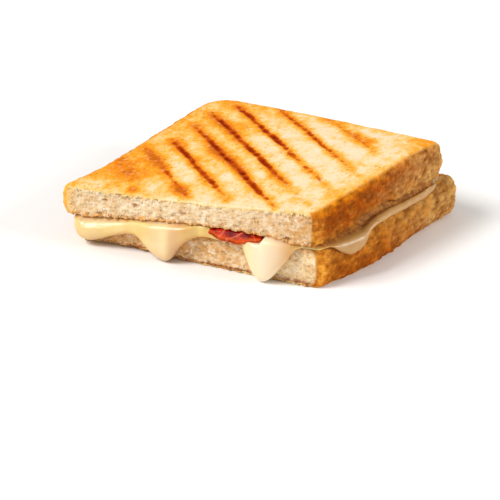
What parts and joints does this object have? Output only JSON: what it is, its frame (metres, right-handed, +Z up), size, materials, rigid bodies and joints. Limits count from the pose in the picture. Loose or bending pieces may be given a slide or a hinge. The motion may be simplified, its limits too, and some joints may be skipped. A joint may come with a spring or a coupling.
{
  "type": "grilled cheese sandwich half",
  "caption": "Half of a toasted cheese sandwich with grill marks, melted cheese dripping over the cut and a rasher of ham, lying flat.",
  "frame": {"origin": "middle of the part's outline, on the board it lies on", "axes": "+X along the cut towards its right end, +Y from the cut face towards the back crust, +Z up"},
  "size_m": [0.1326, 0.1078, 0.037],
  "materials": {
    "toast_top": "dry toasted bread, browned in stripes",
    "toast_base": "dry toasted bread",
    "cheese": "glossy melted cheese",
    "ham": "moist cured ham"
  },
  "bodies": {
    "root": {"upper_slice": "toast_top", "lower_slice": "toast_base", "cheese": "cheese", "ham": "ham"}
  },
  "joints": []
}
